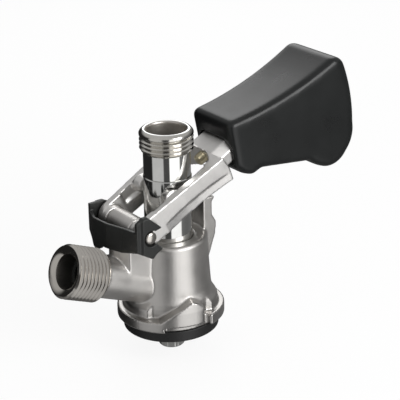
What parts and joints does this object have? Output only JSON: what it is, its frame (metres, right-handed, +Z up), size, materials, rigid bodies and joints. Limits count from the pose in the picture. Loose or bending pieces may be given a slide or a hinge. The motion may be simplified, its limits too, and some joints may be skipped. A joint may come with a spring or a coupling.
{
  "type": "keg coupler",
  "caption": "Keg coupler with a cast body, bayonet foot, tilted gas inlet, sliding polished probe, fork lever with sprung grip, latch tower and moulded hinge clip",
  "frame": {"origin": "on the probe's axis at the lower face of the keg seal", "axes": "+Z up the probe towards the beer outlet, +X towards the grip, -X towards the gas inlet"},
  "size_m": [0.1478, 0.0466, 0.1184],
  "materials": {
    "cast_steel": "satin",
    "seal_rubber": "matte",
    "pin_steel": "satin",
    "clip_plastic": "satin",
    "valve_rubber": "matte",
    "valve_plastic": "matte",
    "polished_steel": "polished",
    "ring_rubber": "matte",
    "outlet_steel": "polished",
    "cage_plastic": "matte",
    "ball_plastic": "matte",
    "lever_steel": "satin",
    "spring_steel": "satin",
    "latch_brass": "satin",
    "grip_plastic": "satin"
  },
  "bodies": {
    "body": {"coupler_body": "cast_steel", "keg_seal": "seal_rubber", "hinge_pin": "pin_steel", "hinge_clip": "clip_plastic", "gas_check_valve": "valve_rubber", "gas_valve_retainer": "valve_plastic"},
    "probe": {"probe": "polished_steel", "beer_outlet": "outlet_steel", "probe_tip": "polished_steel", "tip_seal": "seal_rubber", "probe_ring_upper": "ring_rubber", "probe_ring_lower": "ring_rubber", "outlet_ring": "ring_rubber", "ball_cage": "cage_plastic"},
    "ball": {"check_ball": "ball_plastic"},
    "lever": {"lever_fork": "lever_steel", "latch_spring": "spring_steel", "latch_plug": "pin_steel"},
    "grip": {"grip_shell": "grip_plastic", "latch_plunger": "latch_brass", "grip_screw": "pin_steel"}
  },
  "joints": [
    {"name": "lever_hinge", "type": "hinge", "parent": "body", "child": "lever", "pos_m": [-0.021, 0, 0.051], "axis": [0, 1, 0], "range_deg": [0, 29]},
    {"name": "probe_slide", "type": "slide", "parent": "body", "child": "probe", "axis": [0, 0, -1], "range_m": [0, 0.0089]},
    {"name": "ball_lift", "type": "slide", "parent": "probe", "child": "ball", "axis": [0, 0, 1], "range_m": [0, 0.0015]},
    {"name": "grip_pull", "type": "slide", "parent": "lever", "child": "grip", "axis": [0.8878, 0, 0.4602], "range_m": [-0.0013, 0.0015], "stiffness_N_per_m": 2500}
  ],
  "couplings": [
    {"joint": "probe_slide", "follows": "lever_hinge", "m_per_rad": 0.01743}
  ]
}
